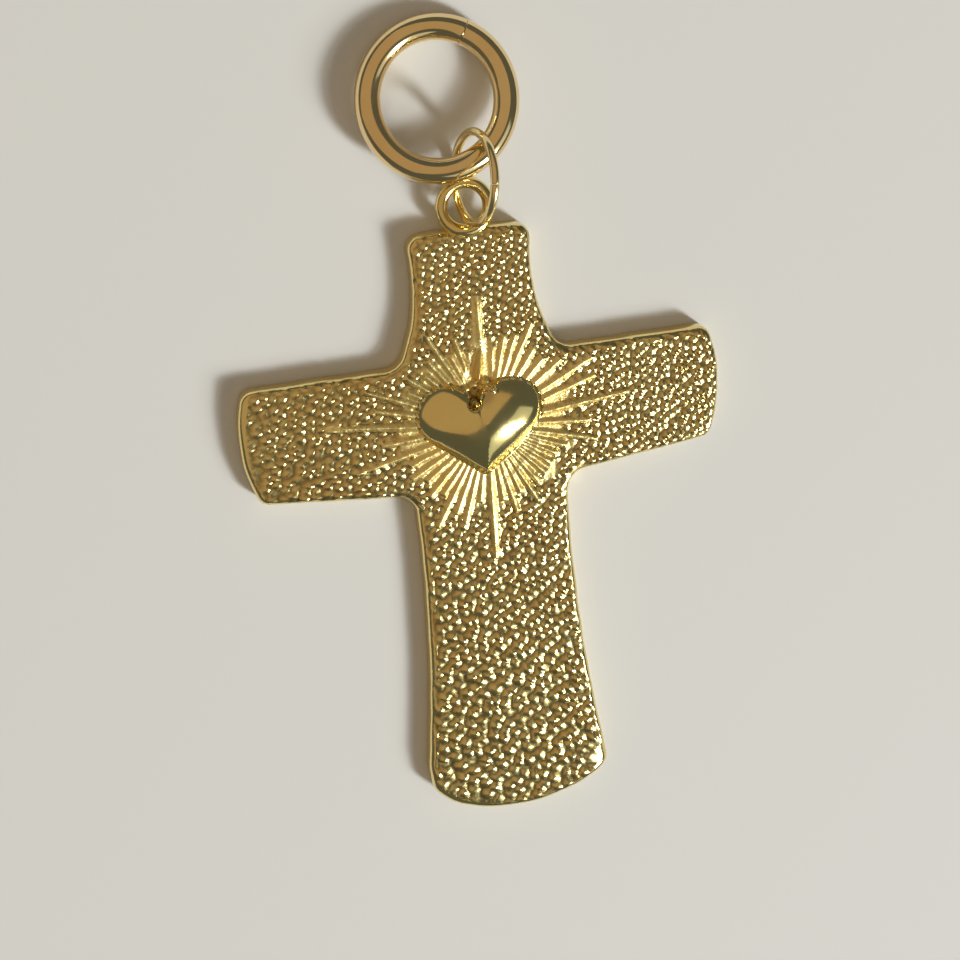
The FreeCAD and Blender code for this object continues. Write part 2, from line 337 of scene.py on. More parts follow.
class Outline:
    """The edge of the casting, and how far in a point lies from it."""

    def __init__(self, places, triangles):
        loop = softened(evenly_spaced(section_loop(places, triangles, OUTLINE_LEVEL), OUTLINE_STEP), 2)
        wander = EDGE_WANDER * (0.5 + 0.5 * waves(loop, 5.0, seed=11).clip(-1, 1))
        from_corner = np.linalg.norm(loop - WORN_CORNER, axis=1)
        wander += WORN_CORNER_DEPTH * (1 - smooth_step(from_corner, 0, WORN_CORNER_REACH))
        self.loop = loop + inward(loop) * wander[:, None]
        self.low = self.loop.min(axis=0)
        self.high = self.loop.max(axis=0)
        self.inward = inward(self.loop)
        self.tree = tree_of(self.loop)

    def row(self, inset):
        """The edge moved inwards."""
        return self.loop + self.inward * inset

    def depth(self, points):
        """Distance to the edge, and the nearest corner of it."""
        count = len(self.loop)
        nearest = np.array([self.tree.find((x, y, 0))[1] for x, y in points])
        best = np.full(len(points), np.inf)
        for other in (1, -1):
            start = self.loop[nearest]
            side = self.loop[(nearest + other) % count] - start
            share = np.clip(np.sum((points - start) * side, 1) / np.sum(side * side, 1), 0, 1)
            best = np.minimum(best, np.linalg.norm(points - start - share[:, None] * side, axis=1))
        inside = np.sum((points - self.loop[nearest]) * self.inward[nearest], 1) > 0
        return np.where(inside, best, -best), nearest


# Heart.


def heart_lean(points):
    """How far the heart leans aside: most at the cleft, a little at the tip, and out at its left lobe."""
    up = points[:, 1] - HEART_MIDDLE
    middle = np.maximum(1 - (points[:, 0] - HEART_ACROSS) ** 2 / 40, 0) ** 2
    shift = CLEFT_SHIFT * smooth_step(up, -1.5, 4) + TIP_SHIFT * smooth_step(-up, 1, 6)
    left_lobe = smooth_step(HEART_ACROSS - points[:, 0], 2.5, 6.5)
    return np.column_stack([shift * middle + LEFT_LOBE_SHIFT * left_lobe, np.zeros(len(points))])


def heart_row(share, step):
    """The heart's outline at one share of its foot, from the cleft round to the cleft."""
    radius = HEART_LOBE_RADIUS * share
    rise = HEART_LOBE_RISE * share
    across = HEART_LOBE_OFFSET * share * (1 - HEART_LOBE_CLOSING * (1 - share))
    shoulder_up = -HEART_SHOULDER_DROP * share
    cleft_turn = math.atan2(math.sqrt(radius ** 2 - across ** 2), -across)
    shoulder_turn = math.asin((shoulder_up - rise) / radius)
    lobe_count = max(4, round(radius * (cleft_turn - shoulder_turn) / step))
    turns = np.linspace(cleft_turn, shoulder_turn, lobe_count + 1)
    lobe = np.stack([across + radius * np.cos(turns), rise + radius * np.sin(turns)], axis=1)
    tip = np.array([0, -HEART_TIP_DROP * share])
    chord = tip - lobe[-1]
    long = np.linalg.norm(chord)
    bulge_radius = HEART_SIDE_RADIUS * share
    sag = bulge_radius - math.sqrt(bulge_radius ** 2 - (long / 2) ** 2)
    flank_count = max(3, round(long / step))
    shares = np.linspace(0, 1, flank_count + 1)[1:]
    outwards = np.array([-chord[1], chord[0]]) / long
    flank = lobe[-1] + chord * shares[:, None] + outwards * (4 * sag * shares * (1 - shares))[:, None]
    right = np.vstack([lobe, flank])
    left = right[-2:0:-1] * (-1, 1)
    row = np.vstack([right, left]) + (HEART_ACROSS, HEART_MIDDLE)
    return row + heart_lean(row)


def heart_share(points):
    """Which share of the heart's foot each point lies on: over 1 outside it."""
    upright = points
    for _ in range(3):
        upright = points - heart_lean(upright)
    across_axis = np.abs(upright[:, 0] - HEART_ACROSS)
    up = upright[:, 1] - HEART_MIDDLE
    low = np.full(len(points), 1e-3)
    high = np.full(len(points), 1.6)
    for _ in range(24):
        share = (low + high) / 2
        radius = HEART_LOBE_RADIUS * share
        across = HEART_LOBE_OFFSET * share * (1 - HEART_LOBE_CLOSING * (1 - np.minimum(share, 1)))
        rise = HEART_LOBE_RISE * share
        in_lobe = np.hypot(across_axis - across, up - rise) < radius
        shoulder_up = -HEART_SHOULDER_DROP * share
        shoulder_across = across + np.sqrt(np.maximum(radius ** 2 - (shoulder_up - rise) ** 2, 0))
        tip_up = -HEART_TIP_DROP * share
        long = np.hypot(shoulder_across, shoulder_up - tip_up)
        sag = long ** 2 / (8 * HEART_SIDE_RADIUS * share)
        climb = np.clip((up - tip_up) / (shoulder_up - tip_up), 0, 1)
        flank_across = shoulder_across * climb + 4 * sag * climb * (1 - climb) * (shoulder_up - tip_up) / long
        in_flank = (up <= shoulder_up) & (up > tip_up) & (across_axis < flank_across)
        in_middle = (up > shoulder_up) & (up < rise) & (across_axis < across)
        inside = in_lobe | in_flank | in_middle
        high = np.where(inside, share, high)
        low = np.where(inside, low, share)
    return (low + high) / 2


def heart_height(share, face_level):
    """How high the heart stands at a share of its foot."""
    return face_level - HEART_SINK + HEART_PUFF * np.sqrt(np.maximum(1 - share ** 2, 0))


# Details at the cleft.


def flame_clearance(points):
    """1 beside the collar and the flame, where the rays are cut back, and 0 away from them."""
    start, end = np.array(COLLAR_PLACE), np.array(FLAME_TIP)
    share = np.clip((points - start) @ (end - start) / np.sum((end - start) ** 2), 0, 1)
    away = np.linalg.norm(points - start - share[:, None] * (end - start), axis=1)
    return 1 - smooth_step(away, 0.7 + 0.5 * (1 - share), 1.2 + 0.8 * (1 - share))


def flame_rise(points):
    """Height of the flame over its ground: a leaf with a ridge along its middle."""
    foot, tip = np.array(FLAME_FOOT), np.array(FLAME_TIP)
    long = np.linalg.norm(tip - foot)
    along = (tip - foot) / long
    share = (points - foot) @ along / long
    aside = np.abs((points - foot) @ np.array([-along[1], along[0]]))
    foot_swell = 1 - (np.minimum(share - FLAME_BROADEST, 0) / 0.3) ** 2
    tip_swell = 1 - (np.maximum(share - FLAME_BROADEST, 0) / (1 - FLAME_BROADEST)) ** 1.3
    swell = np.minimum(foot_swell, tip_swell)
    half_width = FLAME_HALF_WIDTH * np.sqrt(np.clip(swell, 1e-6, 1))
    return FLAME_RISE * np.sqrt(np.clip(swell, 0, 1)) * np.clip(1 - aside / half_width, 0, 1)


def bead_rise(points):
    """Height of the small beads round the cleft over their ground."""
    rise = np.zeros(len(points))
    for place, radius in zip(BEAD_PLACES, BEAD_RADII):
        away = np.linalg.norm(points - place, axis=1)
        rise = np.maximum(rise, 1.2 * np.sqrt(np.maximum(radius ** 2 - away ** 2, 0)))
    return rise


def beam_rise(points):
    """Height of the four long beams' outer lengths over the plate.

    They are bars with blunt tips. The flank on the upper left is broad, and the other one is steep.
    """
    rise = np.zeros(len(points))
    for start, end, half_width in LONG_BEAMS:
        start, end = np.array(start), np.array(end)
        long = np.linalg.norm(end - start)
        along = (end - start) / long
        across = np.array([-along[1], along[0]])
        across *= np.sign(across[0] - across[1])
        walked = (points - start) @ along
        aside = (points - start) @ across / half_width - BEAM_CREST_SHIFT
        aside = np.where(aside > 0, aside / (1 - BEAM_CREST_SHIFT), -aside / (1 + BEAM_CREST_SHIFT))
        ends = smooth_step(walked, 0, 2.5) * np.sqrt(np.clip((long - walked) / 0.5, 0, 1))
        bar = 1 - np.minimum(aside, 1) ** 1.3
        rise = np.maximum(rise, BEAM_STEEPNESS * half_width * bar * ends)
    return rise


# Pebbles.


class Pebbles:
    """Uneven domes in slanting rows, and the corners that shape them."""

    def __init__(self, low, high):
        self.turn = np.array([
            [math.cos(PEBBLE_ROW_TURN), math.sin(PEBBLE_ROW_TURN)],
            [-math.sin(PEBBLE_ROW_TURN), math.cos(PEBBLE_ROW_TURN)],
        ])
        self.heights = np.linspace(-70, 60, 1301)
        self.across_steps = np.interp(self.heights, PEBBLE_HEIGHTS, PEBBLE_STEPS)
        self.long_steps = self.across_steps * np.interp(self.heights, PEBBLE_HEIGHTS, PEBBLE_LONG)
        rises = np.concatenate([[0], np.cumsum(np.diff(self.heights) / self.across_steps[:-1])])
        self.rows = rises - np.interp(0, self.heights, rises)
        rng = np.random.default_rng(5)
        corners = self.to_lattice(np.array([(x, y) for x in (low[0], high[0]) for y in (low[1], high[1])]))
        row_pitch = math.sqrt(3) / 2
        first, last = corners.min(axis=0) / (1, row_pitch), corners.max(axis=0) / (1, row_pitch)
        columns = np.arange(math.floor(first[0]) - 2, math.ceil(last[0]) + 2)
        rows = np.arange(math.floor(first[1]) - 2, math.ceil(last[1]) + 2)
        across, up = np.meshgrid(columns, rows)
        seeds = np.stack([(across + 0.5 * (up % 2)).ravel(), (up * row_pitch).ravel()], axis=1)
        seeds += rng.uniform(-PEBBLE_JITTER, PEBBLE_JITTER, seeds.shape)
        places = self.to_plate(seeds)
        kept = np.all((places > np.array(low) - 1.5) & (places < np.array(high) + 1.5), axis=1)
        self.seeds = seeds[kept]
        self.lift = rng.uniform(*PEBBLE_LIFTS, len(self.seeds))
        self.tilt = rng.normal(0, PEBBLE_TILT, self.seeds.shape)
        self.tree = tree_of(self.seeds)

    def to_lattice(self, points):
        """From millimetres on the plate to pebble steps."""
        turned = points @ self.turn.T
        long_step = np.interp(turned[:, 1], self.heights, self.long_steps)
        return np.stack([turned[:, 0] / long_step, np.interp(turned[:, 1], self.heights, self.rows)], axis=1)

    def to_plate(self, lattice):
        """From pebble steps to millimetres on the plate."""
        up = np.interp(lattice[:, 1], self.rows, self.heights)
        long_step = np.interp(up, self.heights, self.long_steps)
        return np.stack([lattice[:, 0] * long_step, up], axis=1) @ self.turn

    def step_at(self, points):
        """Pebble step across the rows at each point."""
        return np.interp((points @ self.turn.T)[:, 1], self.heights, self.across_steps)

    def corners(self):
        """Points that draw each pebble: its top, two rings round it, and the valleys between pebbles."""
        flat = [Vector(seed) for seed in self.seeds]
        _, edges, triangles, _, _, _ = delaunay_2d_cdt(flat, [], [], 0, 1e-6)
        a, b, c = (self.seeds[np.array(triangles)[:, n]] for n in range(3))
        cross = 2 * ((b - a)[:, 0] * (c - a)[:, 1] - (b - a)[:, 1] * (c - a)[:, 0])
        ab, ac = np.sum((b - a) ** 2, 1), np.sum((c - a) ** 2, 1)
        hub = a + np.stack([
            ((c - a)[:, 1] * ab - (b - a)[:, 1] * ac) / cross,
            ((b - a)[:, 0] * ac - (c - a)[:, 0] * ab) / cross,
        ], axis=1)
        hub = np.where((np.linalg.norm(hub - a, axis=1) < FURTHEST_HUB)[:, None], hub, (a + b + c) / 3)
        first, second = (self.seeds[np.array(edges)[:, n]] for n in range(2))
        short = np.linalg.norm(first - second, axis=1) < LONGEST_VALLEY
        first, second = first[short], second[short]
        middle = (first + second) / 2
        groups = [self.seeds, hub, middle]
        groups += [0.5 * (end + middle) for end in (first, second)]
        groups += [corner + share * (hub - corner) for corner in (a, b, c) for share in PEBBLE_RING_SHARES]
        return self.to_plate(np.vstack(groups))

    def shape(self, points):
        """For each point: the dome's height as a share of the rise, and how deep in a valley it lies."""
        lattice = self.to_lattice(points)
        found = [self.tree.find_n((u, v, 0), 2) for u, v in lattice]
        near = np.array([pair[0][2] for pair in found])
        next_near = np.array([pair[1][2] for pair in found])
        owner = np.array([pair[0][1] for pair in found])
        outward = np.clip(2 * near / (near + next_near), 0, 1)
        lean = np.sum(self.tilt[owner] * (lattice - self.seeds[owner]), axis=1)
        dome = (self.lift[owner] + lean) * (1 - outward ** 2)
        return dome, outward ** 3


# Casting.


def sharp_edges(places, triangles, lowest, sharp_turn):
    """Edges above a level where the solid's surface turns sharply."""
    _, normals, _ = side_normals(places, triangles)
    owners = {}
    for number, triangle in enumerate(triangles):
        for n in range(3):
            owners.setdefault(tuple(sorted((triangle[n], triangle[(n + 1) % 3]))), []).append(number)
    limit = math.cos(sharp_turn)
    sharp = [
        edge for edge, faces in owners.items()
        if len(faces) == 2 and normals[faces[0]] @ normals[faces[1]] < limit
    ]
    return [edge for edge in sharp if places[list(edge), 2].min() > lowest]


def face_level_of(places):
    """Height of the plate's flat front."""
    levels, counts = np.unique(np.round(places[places[:, 2] > OUTLINE_LEVEL, 2], 3), return_counts=True)
    return float(levels[np.argmax(counts)])


class Draft:
    """Points and fixed edges of the casting's front or back, gathered before they become triangles."""

    def __init__(self):
        self.points = []
        self.edges = []

    def add(self, points, closed=None):
        """Adds points. Closed True or False also fixes the edges from each to the next."""
        start = len(self.points)
        self.points += [tuple(point) for point in points]
        count = len(points)
        if closed is not None:
            self.edges += [(start + n, start + n + 1) for n in range(count - 1)]
        if closed:
            self.edges.append((start + count - 1, start))
        return list(range(start, start + count))

    def add_apart(self, points, gap):
        """Adds the points that lie further than a gap from all that are there."""
        tree = tree_of(self.points)
        self.add([point for point in points if tree.find((point[0], point[1], 0))[2] > gap])

    def triangles(self):
        """Joined corners, triangles, and where each drafted point went."""
        flat = [Vector(point) for point in self.points]
        corners, _, faces, origins, _, _ = delaunay_2d_cdt(flat, self.edges, [], 1, 1e-5)
        place_of = {}
        for number, sources in enumerate(origins):
            for source in sources:
                place_of[source] = number
        return np.array([tuple(corner) for corner in corners]), faces, place_of


def hex_points(low, high, step, seed):
    """A slightly uneven triangular grid of points over a box."""
    rng = np.random.default_rng(seed)
    rows = np.arange(low[1], high[1], step * math.sqrt(3) / 2)
    columns = np.arange(low[0], high[0], step)
    across, up = np.meshgrid(columns, rows)
    across = across + (np.arange(len(rows)) % 2)[:, None] * step / 2
    grid = np.stack([across.ravel(), up.ravel()], axis=1)
    return grid + rng.uniform(-0.08 * step, 0.08 * step, grid.shape)


def rim_width(outline, nearest, points):
    """Width of the smooth rim: broad at the foot, the left end and the long arm, and narrow elsewhere."""
    out = -outline.inward[nearest]
    on_long_arm = smooth_step(-points[:, 1], 7, 12)
    at_foot = smooth_step(-points[:, 1], 40, 44) * np.maximum(-out[:, 1], 0)
    at_left_end = smooth_step(-points[:, 0], 21, 24)
    to_left, to_right = np.maximum(-out[:, 0], 0), np.maximum(out[:, 0], 0)
    width = RIM_WIDTH + (RIM_ON_LEFT_SIDES + RIM_ON_LONG_ARM_LEFT * on_long_arm) * to_left
    width += RIM_ON_FOOT * at_foot
    width += RIM_ON_LONG_ARM_RIGHT * on_long_arm * to_right
    width += RIM_ON_LEFT_END * at_left_end * to_left
    return width + RIM_UNEVENNESS * waves(points, 4.5, seed=21)


def front_draft(outline, pebbles, places, triangles, face_level):
    """Points and edges of the front, and the numbers of its outer row."""
    draft = Draft()
    edge_row = draft.add(outline.loop, closed=True)
    for inset in FRONT_RIM_INSETS:
        draft.add(outline.row(inset))

    draft.add(heart_row(HEART_FOOT_SHARE, HEART_ROW_STEP), closed=True)
    for climb in HEART_CLIMBS:
        draft.add(heart_row(math.cos(math.radians(climb)), HEART_ROW_STEP), closed=False)
    details = hex_points(*DETAIL_BOX, DETAIL_STEP, seed=9)
    near_detail = (flame_rise(details) > 0) | (bead_rise(details) > 0)
    near_detail |= np.linalg.norm(details - PIT_PLACE, axis=1) < PIT_RADIUS + 0.2
    draft.add_apart(details[near_detail], DETAIL_GAP)

    rim_reach = FRONT_RIM_INSETS[-1]
    for edge in sharp_edges(places, triangles, face_level - 0.01, CREASE_TURN):
        start, end = places[list(edge), :2]
        count = max(1, round(np.linalg.norm(end - start) / CREASE_STEP))
        walk = start + (end - start) * np.linspace(0, 1, count + 1)[:, None]
        middle = (start + end)[None, :] / 2
        if outline.depth(middle)[0][0] > rim_reach and heart_share(middle)[0] > HEART_FOOT_SHARE + 0.02:
            draft.add(walk, closed=False)

    beams = hex_points(outline.low, outline.high, BEAM_STEP, seed=13)
    draft.add_apart(beams[beam_rise(beams) > 0], BEAM_GAP)

    def free(points):
        """Points inside the rim and outside the heart, and how far they lie from the sunburst's middle."""
        depth, _ = outline.depth(points)
        points = points[(depth > rim_reach + 0.05) & (heart_share(points) > HEART_FOOT_SHARE + 0.015)]
        return points, np.hypot(points[:, 0], points[:, 1] - BURST_MIDDLE)

    drawn, radius = free(pebbles.corners())
    draft.add_apart(drawn[radius > SMOOTH_GROUND_RADIUS], PEBBLE_GAP)
    ground, radius = free(hex_points(outline.low, outline.high, GROUND_STEP, seed=3))
    draft.add_apart(ground[radius <= SMOOTH_GROUND_RADIUS + 0.3], GROUND_GAP)
    return draft, edge_row


def plate_height(depth, to_corner, face_level):
    """Height of the plate: level inside, rounded down at its edge, and bevelled at the smooth corner."""
    inset = np.clip(FRONT_RIM_ROUND - depth, 0, FRONT_RIM_ROUND)
    plate = face_level - FRONT_RIM_ROUND + np.sqrt(FRONT_RIM_ROUND ** 2 - inset ** 2)
    return plate - SMOOTH_CORNER_SLOPE * np.maximum(SMOOTH_CORNER_REACH - to_corner, 0)


def solid_tops(solid, flat, asked, face_level):
    """Height of the solid's top at the points asked for, and the face's level at the others."""
    top = np.full(len(flat), face_level)
    for n in np.nonzero(asked)[0]:
        hit = solid.ray_cast((flat[n, 0], flat[n, 1], 30), (0, 0, -1))
        top[n] = hit[0].z if hit[0] else face_level
    return top


def sunburst(flat, radius, above):
    """From the solid's height above the face: the burst's rise, the rays' own rise, and where a ray is."""
    ground_rise = BURST_GROUND_RISE * (1 - smooth_step(radius, BURST_GROUND_FLAT, BURST_GROUND_RADIUS))
    above = np.where((radius < BURST_GROUND_RADIUS) & (above < BURST_GROUND_RISE + 0.005), 0, above)
    ray_base = BURST_GROUND_RISE * (1 - smooth_step(radius, *RAY_BASE_FADE))
    on_ray = smooth_step(above - ray_base, *RAY_FOOT_HEIGHTS)
    above = FULL_RAY_RISE * (above / FULL_RAY_RISE) ** RAY_FULLNESS
    ray_rise = RAY_HEIGHT_KEPT * (1 - (1 - RAYS_KEPT_NEAR_FLAME) * flame_clearance(flat)) * above
    beam = beam_rise(flat)
    on_ray = np.maximum(on_ray, smooth_step(beam, 0, 0.04))
    return np.maximum(np.maximum(ray_rise, ground_rise), beam), ray_rise, on_ray


class Skin:
    """Corners and faces of a piece, with the three values that its material reads at each corner: painted
    shade, polish and grain.
    """

    def __init__(self):
        self.places = []
        self.faces = []
        self.values = {"hollow_shade": [], "polish": [], "grain": []}
        self.count = 0

    def add(self, places, hollow_shade, polish, grain):
        """Adds corners, with a value for each of them or one for all. Returns their numbers."""
        self.places.append(places)
        for name, value in (("hollow_shade", hollow_shade), ("polish", polish), ("grain", grain)):
            self.values[name].append(np.broadcast_to(value, len(places)))
        self.count += len(places)
        return list(range(self.count - len(places), self.count))

    def piece(self, name, material):
        """The finished object."""
        piece = object_from(name, np.vstack(self.places), self.faces, material)
        for value, parts in self.values.items():
            store(piece, value, np.concatenate(parts))
        return piece


def add_front(skin, outline, places, triangles):
    """The casting's front. Returns the numbers of its outer row."""
    solid = BVHTree.FromPolygons([tuple(place) for place in places], [tuple(t) for t in triangles])
    face_level = face_level_of(places)
    pebbles = Pebbles(outline.low, outline.high)
    draft, edge_row = front_draft(outline, pebbles, places, triangles, face_level)

    flat, faces, place_of = draft.triangles()
    edge_row = [place_of[n] for n in edge_row]
    depth, nearest = outline.depth(flat)
    depth = np.maximum(depth, 0)
    depth[edge_row] = 0
    share = heart_share(flat)
    radius = np.hypot(flat[:, 0], flat[:, 1] - BURST_MIDDLE)
    to_corner = np.linalg.norm(flat - SMOOTH_CORNER, axis=1)

    asked = (radius < BURST_REACH) & (share > 0.93) & (depth > FRONT_RIM_INSETS[-1])
    top = solid_tops(solid, flat, asked, face_level)
    burst_rise, ray_rise, on_ray = sunburst(flat, radius, np.maximum(top - face_level, 0))
    carved = sum(rise * waves(flat, length, seed) for rise, length, seed in CARVED_WAVES)
    height = plate_height(depth, to_corner, face_level) + burst_rise + carved * on_ray

    dome, valley = pebbles.shape(flat)
    edge_mask = smooth_step(depth - rim_width(outline, nearest, flat), 0, RIM_FADE)
    uneven_radius = radius + 0.5 * waves(flat, 3.0, seed=41)
    burst_mask = smooth_step(uneven_radius, SMOOTH_GROUND_RADIUS, PEBBLES_FROM_RADIUS)
    corner_mask = smooth_step(to_corner, 0.8 * SMOOTH_CORNER_REACH, SMOOTH_CORNER_REACH)
    pebbled = edge_mask * burst_mask * (1 - on_ray) * corner_mask
    full_rise = pebbled * PEBBLE_RISE * (1 + PEBBLE_RISE_DRIFT * flat[:, 0]) * pebbles.step_at(flat)
    height += full_rise * (dome - PEBBLE_LEVEL)

    on_heart = share <= HEART_FOOT_SHARE + 0.001
    heart = heart_height(share, face_level)
    ray_over_heart = np.where((share > 0.95) & (top > heart + 0.05), face_level + ray_rise, 0)
    height = np.where(on_heart, np.maximum(heart, ray_over_heart), height)
    pit = 1 - smooth_step(np.linalg.norm(flat - PIT_PLACE, axis=1), 0.35 * PIT_RADIUS, PIT_RADIUS)
    height += pit * np.minimum(face_level + PIT_FLOOR - height, 0)
    detail_rise = np.maximum(bead_rise(flat), flame_rise(flat))
    height += detail_rise

    # Painted shade: a value that darkens the colour where shade falls, in the pebbles' valleys, in the pit
    # and beside the collar and flame.
    at_cleft = np.minimum(pit + 0.6 * flame_clearance(flat) * (radius < 5.4), 1)
    hollow_shade = np.maximum(pebbled * valley, at_cleft * (detail_rise == 0))
    on_rim = (1 - pebbled) * (1 - smooth_step(depth, 1.2, 2.2))
    polish = np.where(on_heart, 1.0, np.maximum(on_rim, PEBBLE_POLISH * pebbled))
    pebble_grain = 0.15 + 0.25 * smooth_step(flat[:, 1], -25, 5)
    ground_grain = (1 - on_rim) * np.where(pebbled > 0.5, pebble_grain, RAY_GRAIN)
    grain = np.where(on_heart | (detail_rise > 0), DETAIL_GRAIN, ground_grain)
    skin.add(np.column_stack([flat, height]), hollow_shade, polish, grain)
    skin.faces += [tuple(face) for face in faces]
    return edge_row


def add_sides(skin, outline, row_above):
    """The casting's straight sides and its rounded back edge. Returns the numbers of the last row."""
    rows = [(0, level) for level in (*SIDE_LEVELS, BACK_RIM_ROUND)]
    for inset in BACK_RIM_INSETS:
        round_left = max(BACK_RIM_ROUND - inset, 0)
        rows.append((inset, BACK_RIM_ROUND - math.sqrt(BACK_RIM_ROUND ** 2 - round_left ** 2)))
    for inset, level in rows:
        points = outline.row(inset)
        row = skin.add(np.column_stack([points, np.full(len(points), level)]), 0.0, 1.0, WALL_GRAIN)
        skin.faces += ring_faces(row, row_above)
        row_above = row
    return row_above


def add_back(skin, outline, last_row):
    """The casting's plain back, joined to the last row of its sides."""
    draft = Draft()
    edge_row = draft.add(outline.row(BACK_RIM_INSETS[-1]), closed=True)
    inner = hex_points(outline.low, outline.high, BACK_STEP, seed=7)
    draft.add(inner[outline.depth(inner)[0] > BACK_GAP])
    flat, faces, place_of = draft.triangles()
    number_of = {place_of[n]: last_row[n] for n in edge_row}
    inner = [n for n in range(len(flat)) if n not in number_of]
    dip = BACK_DIP * (0.5 + 0.5 * waves(flat[inner], 9.0, seed=51).clip(-1, 1))
    numbers = skin.add(np.column_stack([flat[inner], dip]), 0.0, BACK_POLISH, BACK_GRAIN)
    number_of.update(zip(inner, numbers))
    skin.faces += [tuple(number_of[n] for n in face[::-1]) for face in faces]


def build_casting(material):
    """The skin of the casting: front, sides, back and eye in one mesh."""
    places, triangles = solid_of("cross")
    outline = Outline(places, triangles)
    skin = Skin()
    outer_row = add_front(skin, outline, places, triangles)
    last_row = add_sides(skin, outline, outer_row)
    add_back(skin, outline, last_row)
    eye_places, eye_faces = eye_mesh()
    numbers = skin.add(eye_places, 0.0, 1.0, WALL_GRAIN)
    skin.faces += [tuple(numbers[n] for n in face) for face in eye_faces]
    return skin.piece("casting", material)


def eye_mesh():
    """The cast eye: a round ring, thicker where it grows out of the plate."""
    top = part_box("cross")[1].y / MM
    middle = Vector((0, top - EYE_RADIUS - EYE_WIRE, EYE_LEVEL))
    around, across = EYE_ROWS, EYE_ROW_CORNERS
    turns = np.repeat(np.arange(around), across) * (2 * math.pi / around)
    twists = np.tile(np.arange(across), around) * (2 * math.pi / across)
    foot = np.maximum(-np.sin(turns), 0) ** 3
    wire = EYE_WIRE * (1 + EYE_FOOT_SWELL * foot)
    reach = EYE_RADIUS + wire * np.cos(twists)
    corners = np.column_stack([
        middle.x + reach * np.cos(turns),
        middle.y + reach * np.sin(turns),
        middle.z + wire * np.sin(twists),
    ])
    faces = []
    for n in range(around):
        row = [n * across + m for m in range(across)]
        following = [(n + 1) % around * across + m for m in range(across)]
        faces += ring_faces(row, following)
    return corners, [face[::-1] for face in faces]


# Rings.


def ring_frame(node):
    """Middle, axis, seam direction, middle radius and wire radius of a wire ring, read from its solid."""
    places, triangles = solid_of(node)
    centred = places - places.mean(axis=0)
    axis = np.linalg.svd(centred, full_matrices=False)[2][2]
    if axis[2] < 0:
        axis = -axis
    first = np.cross(axis, (0, 0, 1.0) if abs(axis[2]) < 0.9 else (1.0, 0, 0))
    first /= np.linalg.norm(first)
    second = np.cross(axis, first)
    middle = np.zeros(3)
    for way in (first, second, axis):
        spread = places @ way
        middle += way * (spread.max() + spread.min()) / 2
    outer = (places @ first).max() - middle @ first
    wire = (places @ axis).max() - middle @ axis
    centres, normals, areas = side_normals(places, triangles)
    centres -= middle
    radial = centres - np.outer(centres @ axis, axis)
    radial /= np.linalg.norm(radial, axis=1)[:, None]
    ends = np.abs(np.sum(normals * np.cross(axis, radial), axis=1)) > 0.97
    seam = (radial[ends] * areas[ends][:, None]).sum(axis=0)
    return middle, axis, seam / np.linalg.norm(seam), outer - wire, wire


def build_ring(name, node, material, around, across, seam_gap, end_round):
    """A ring bent from round wire, with rounded ends that nearly meet at the seam."""
    middle, axis, seam, radius, wire = ring_frame(node)
    side = np.cross(axis, seam)
    half_gap = seam_gap / 2 / radius
    round_turn = end_round / radius
    inner_turns = np.linspace(half_gap + round_turn, 2 * math.pi - half_gap - round_turn, around)
    first_end = [
        (half_gap + round_turn * (1 - math.sin(bend)), wire - end_round * (1 - math.cos(bend)))
        for bend in np.radians([90, 60, 30, 0])
    ]
    face_turn, face_size = first_end[0]
    first_end.insert(0, (face_turn, face_size * 0.5))
    last_end = [(2 * math.pi - turn, size) for turn, size in first_end[::-1]]
    rows = first_end + [(turn, wire) for turn in inner_turns[1:-1]] + last_end
    corners = []
    twists = np.arange(across) * (2 * math.pi / across)
    for turn, size in rows:
        outward = seam * math.cos(turn) + side * math.sin(turn)
        spread = np.outer(np.cos(twists), outward) + np.outer(np.sin(twists), axis)
        corners.append(middle + outward * radius + size * spread)
    faces = []
    for n in range(len(rows) - 1):
        row = [n * across + m for m in range(across)]
        faces += ring_faces([m + across for m in row], row)
    last = (len(rows) - 1) * across
    faces += [tuple(range(across)), tuple(last + m for m in reversed(range(across)))]
    return object_from(name, np.vstack(corners), faces, material)


# Materials.


def sockets(group, inputs, outputs):
    """Gives a shader group its named inputs, with starting values, and its outputs."""
    for name, kind, value in inputs:
        socket = group.interface.new_socket(name=name, in_out="INPUT", socket_type=kind)
        socket.default_value = value
    for name, kind in outputs:
        group.interface.new_socket(name=name, in_out="OUTPUT", socket_type=kind)


def link(tree, start, end):
    """Joins two sockets."""
    tree.links.new(start, end)


def node_of(tree, kind, **values):
    """A new shader node with some of its settings and inputs filled in."""
    node = tree.nodes.new(kind)
    for name, value in values.items():
        if hasattr(node, name):
            setattr(node, name, value)
        else:
            node.inputs[name.replace("_", " ")].default_value = value
    return node


